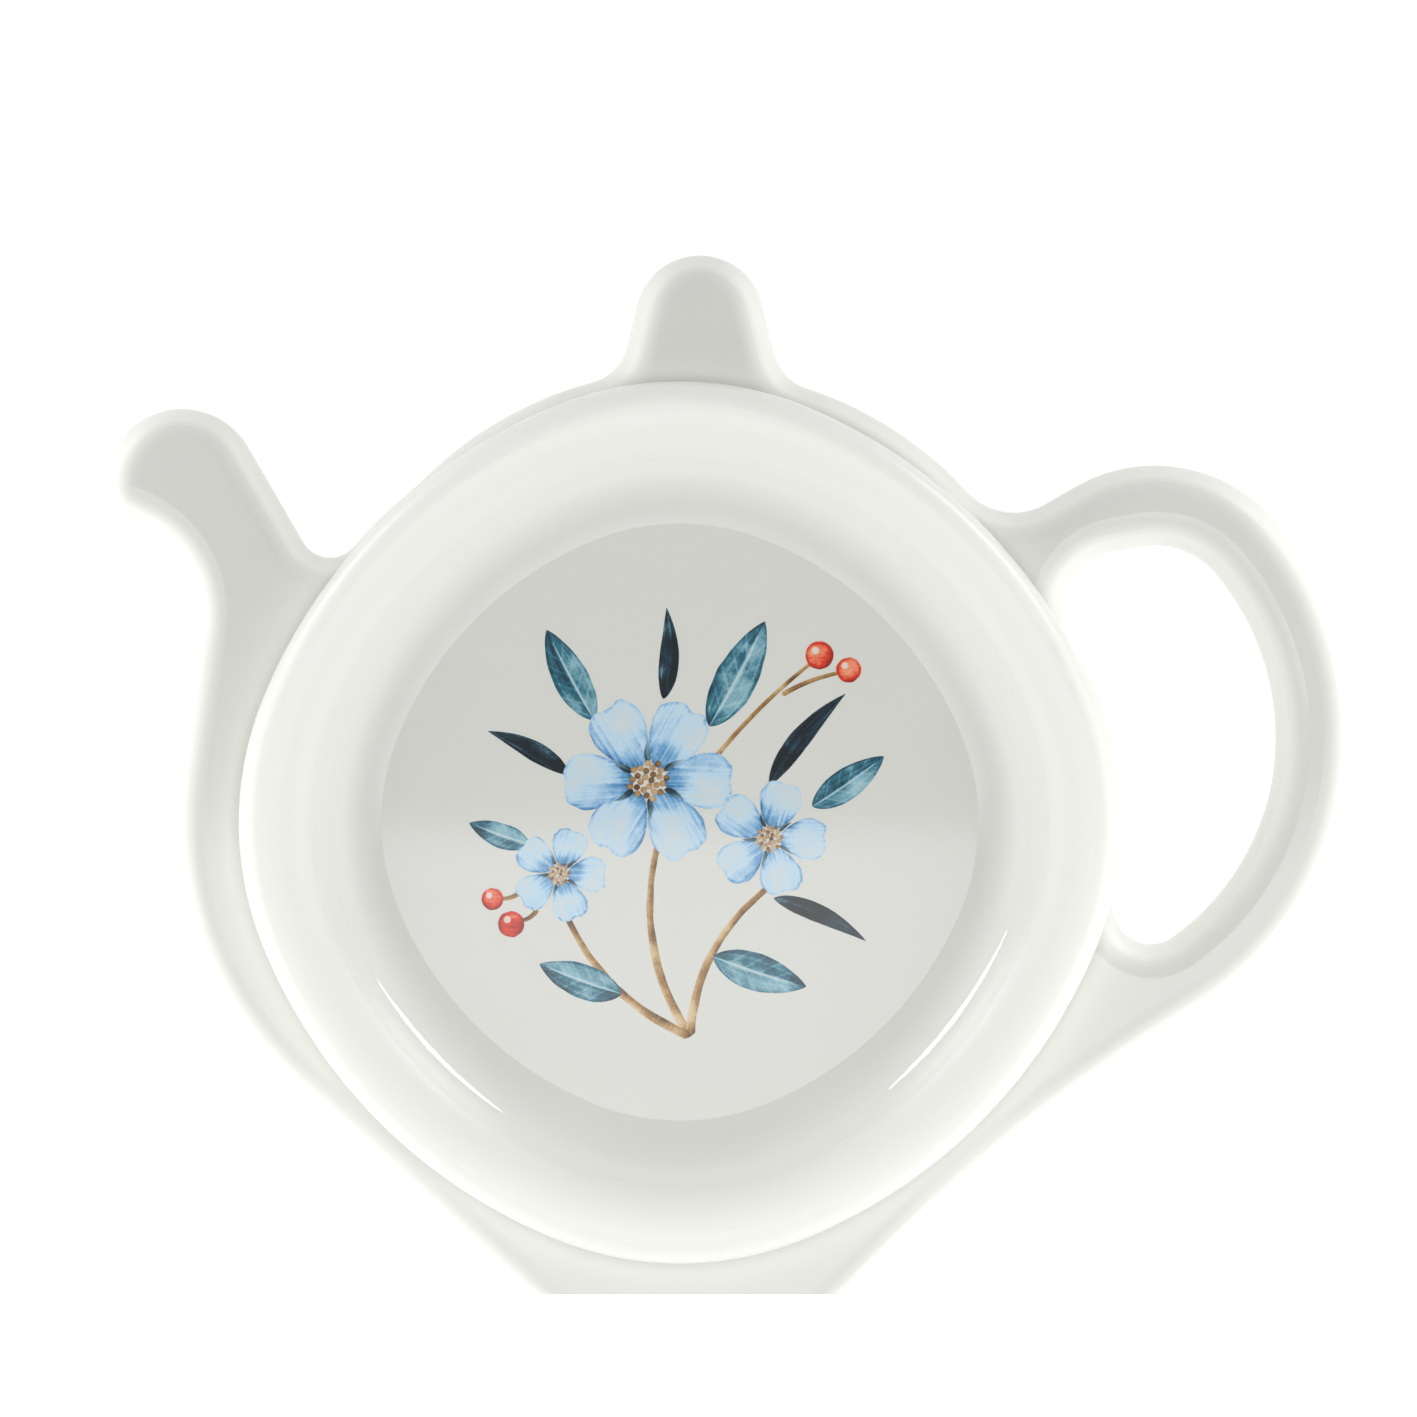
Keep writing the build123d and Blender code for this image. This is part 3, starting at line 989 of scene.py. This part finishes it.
class TEA_REST_OT_set_stage(bpy.types.Operator):
    """Set the white floor, the lamps and the camera"""

    bl_idname = "tea_rest.set_stage"
    bl_label = "Set Stage"

    def execute(self, context):
        scene = context.scene
        settings = scene.tea_rest.stage
        scene.view_settings.view_transform = "Standard"
        self.lay_floor(scene)
        self.light_room(scene, settings)
        self.hang_lamps(settings)
        self.aim_camera(scene, settings)
        return {"FINISHED"}

    def lay_floor(self, scene):
        """A wide card just under the foot ring."""
        reach, gap = 2.0, 0.02 * MM
        z = cad_box[0][2] - gap
        corners = [(x * reach, y * reach, z) for x, y in ((-1, -1), (1, -1), (1, 1), (-1, 1))]
        data = bpy.data.meshes.new("floor")
        data.from_pydata(corners, [], [(0, 1, 2, 3)])
        data.materials.append(white_card())
        floor = bpy.data.objects.new("floor", data)
        scene.collection.objects.link(floor)

    def light_room(self, scene, settings):
        """A white studio: white to the camera, dim to matt surfaces and graded in the glaze."""
        world = bpy.data.worlds.new("white_studio")
        scene.world = world
        world.use_nodes = True
        tree = world.node_tree
        tree.nodes.clear()
        seen = seen_directly(tree)
        glossy = add_node(tree, "ShaderNodeLightPath").outputs["Is Glossy Ray"]
        direction = add_node(tree, "ShaderNodeTexCoord").outputs["Generated"]
        split = add_node(tree, "ShaderNodeSeparateXYZ", [(0, direction)])
        room = add_node(
            tree,
            "ShaderNodeMapRange",
            [
                ("Value", split.outputs["Y"]),
                ("From Min", -1.0),
                ("To Min", settings.room_front),
                ("To Max", settings.room_back),
            ],
        )
        shown = self.mirrored_room(tree, settings, direction, split)
        direct = add_node(tree, "ShaderNodeMix", [(0, glossy), (2, 1.0), (3, shown)])
        level = add_node(
            tree, "ShaderNodeMix", [(0, seen), (2, room.outputs[0]), (3, direct.outputs[0])]
        )
        light = add_node(
            tree,
            "ShaderNodeBackground",
            [("Color", linear("#FFFFFF")), ("Strength", level.outputs[0])],
        )
        add_node(tree, "ShaderNodeOutputWorld", [("Surface", light.outputs[0])])

    def mirrored_room(self, tree, settings, direction, split):
        """A socket with the room as the glaze mirrors it: an edge overhead and walls around."""
        edge_blur = 0.001
        wall_rise = 0.5  # sine of the height at which the walls are clear of the table
        card_lean, wall_lean = 0.05, 0.45  # sine of the lean at which the edge gives way to walls
        across, back = split.outputs["X"], split.outputs["Y"]
        # The edge is where a sight line from the camera goes after it meets the mirror line
        sight = (settings.mirror_line - settings.view_centre[1], settings.camera_height - floor_z)
        edge = Vector(sight).normalized().x
        # It is crisp straight ahead and blurs to the sides
        spread = add_node(tree, "ShaderNodeMath", [(0, across), (1, across)], operation="MULTIPLY")
        blur = add_node(
            tree, "ShaderNodeMath", [(0, spread.outputs[0]), (1, edge_blur)], operation="ADD"
        )
        front, behind = (
            add_node(tree, "ShaderNodeMath", [(0, edge), (1, blur.outputs[0])], operation=operation)
            for operation in ("SUBTRACT", "ADD")
        )
        overhead = add_node(
            tree,
            "ShaderNodeMapRange",
            [
                ("Value", back),
                ("From Min", front.outputs[0]),
                ("From Max", behind.outputs[0]),
                ("To Min", settings.mirror_front),
                ("To Max", settings.mirror_back),
            ],
        )
        # The walls change from front to back, brighten to the sides and fade down to the table
        slope = add_node(
            tree,
            "ShaderNodeMapRange",
            [
                ("Value", back),
                ("From Min", -1.0),
                ("To Min", settings.wide_front),
                ("To Max", settings.wide_back),
            ],
        )
        walls = add_node(
            tree,
            "ShaderNodeMath",
            [(0, spread.outputs[0]), (1, settings.wide_sides), (2, slope.outputs[0])],
            operation="MULTIPLY_ADD",
        )
        rise = add_node(
            tree,
            "ShaderNodeMapRange",
            [("Value", split.outputs["Z"]), ("From Max", wall_rise)],
            interpolation_type="SMOOTHSTEP",
        )
        around = add_node(
            tree,
            "ShaderNodeMix",
            [(0, rise.outputs[0]), (2, settings.wide_low), (3, walls.outputs[0])],
        )
        level_way = add_node(
            tree,
            "ShaderNodeVectorMath",
            [(0, direction), (1, (1.0, 1.0, 0.0))],
            operation="MULTIPLY",
        )
        lean = add_node(
            tree, "ShaderNodeVectorMath", [(0, level_way.outputs[0])], operation="LENGTH"
        )
        off_card = add_node(
            tree,
            "ShaderNodeMapRange",
            [("Value", lean.outputs["Value"]), ("From Min", card_lean), ("From Max", wall_lean)],
        )
        shown = add_node(
            tree,
            "ShaderNodeMix",
            [(0, off_card.outputs[0]), (2, overhead.outputs[0]), (3, around.outputs[0])],
        )
        return shown.outputs[0]

    def hang_lamps(self, settings):
        """Soft boxes light the matt side of every surface, and strips draw the highlights."""
        low_z, low_height = 0.05, 0.1  # of the card and the side boxes, which stand on the table
        card_y, card_width = cad_box[0][1] - 17 * MM, 0.5
        top_z, top_size = 1.0, 0.8
        side_reach, side_width = 0.17, 0.4
        middle = (0, 0, low_z)
        front, top, sides = settings.front_light, settings.top_light, settings.side_light
        for name, place, aim, width, length, radiance in (
            ("front_card", (0, card_y, low_z), middle, card_width, low_height, front),
            ("top_box", (0, 0, top_z), (0, 0, 0), top_size, top_size, top),
            ("left_box", (-side_reach, 0, low_z), middle, side_width, low_height, sides),
            ("right_box", (side_reach, 0, low_z), middle, side_width, low_height, sides),
        ):
            hang_lamp(name, place, aim, width, length, radiance, mirrored=False)
        for name, bearing, foot, head, width in STRIPS:
            x, y = STRIP_REACH * cos(radians(bearing)), STRIP_REACH * sin(radians(bearing))
            z = (foot + head) / 2
            place, aim, length = (x, y, z), (0, 0, z), head - foot
            hang_lamp(name, place, aim, width, length, settings.strip_light, mirrored=True)

    def aim_camera(self, scene, settings):
        """A camera that looks straight down, as wide as the picture at the limbs."""
        lens = bpy.data.cameras.new("camera")
        limb_height = (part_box("handle")[0].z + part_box("handle")[1].z) / 2
        lens.sensor_width = 36.0
        lens.lens = lens.sensor_width * (settings.camera_height - limb_height) / settings.view_width
        camera = bpy.data.objects.new("camera", lens)
        camera.location = (settings.view_centre[0], settings.view_centre[1], settings.camera_height)
        scene.collection.objects.link(camera)
        scene.camera = camera


class TEA_REST_PT_panel(bpy.types.Panel):
    """Lists the steps that dress the tea bag rest"""

    bl_idname = "TEA_REST_PT_panel"
    bl_label = "Tea Bag Rest"
    bl_space_type = "VIEW_3D"
    bl_region_type = "UI"
    bl_category = "Tea Bag Rest"

    def draw(self, context):
        for step in STEPS:
            self.layout.operator(step.bl_idname)


STEPS = (
    TEA_REST_OT_set_stage,
    TEA_REST_OT_glaze_china,
    TEA_REST_OT_wipe_foot,
    TEA_REST_OT_paint_petals,
    TEA_REST_OT_paint_leaves,
    TEA_REST_OT_paint_strokes,
    TEA_REST_OT_paint_berries,
    TEA_REST_OT_paint_stems,
)
CLASSES = (ChinaSettings, PosySettings, StageSettings, TeaRestSettings, *STEPS, TEA_REST_PT_panel)


def register():
    for cls in CLASSES:
        bpy.utils.register_class(cls)
    bpy.types.Scene.tea_rest = PointerProperty(
        type=TeaRestSettings, name="Tea Bag Rest", description="Settings of the tea bag rest"
    )


def unregister():
    del bpy.types.Scene.tea_rest
    for cls in reversed(CLASSES):
        bpy.utils.unregister_class(cls)


def main():
    register()
    bpy.ops.tea_rest.set_stage()
    bpy.ops.tea_rest.glaze_china()
    bpy.ops.tea_rest.wipe_foot()
    bpy.ops.tea_rest.paint_petals()
    bpy.ops.tea_rest.paint_leaves()
    bpy.ops.tea_rest.paint_strokes()
    bpy.ops.tea_rest.paint_berries()
    bpy.ops.tea_rest.paint_stems()


if __name__ == "__main__":
    main()
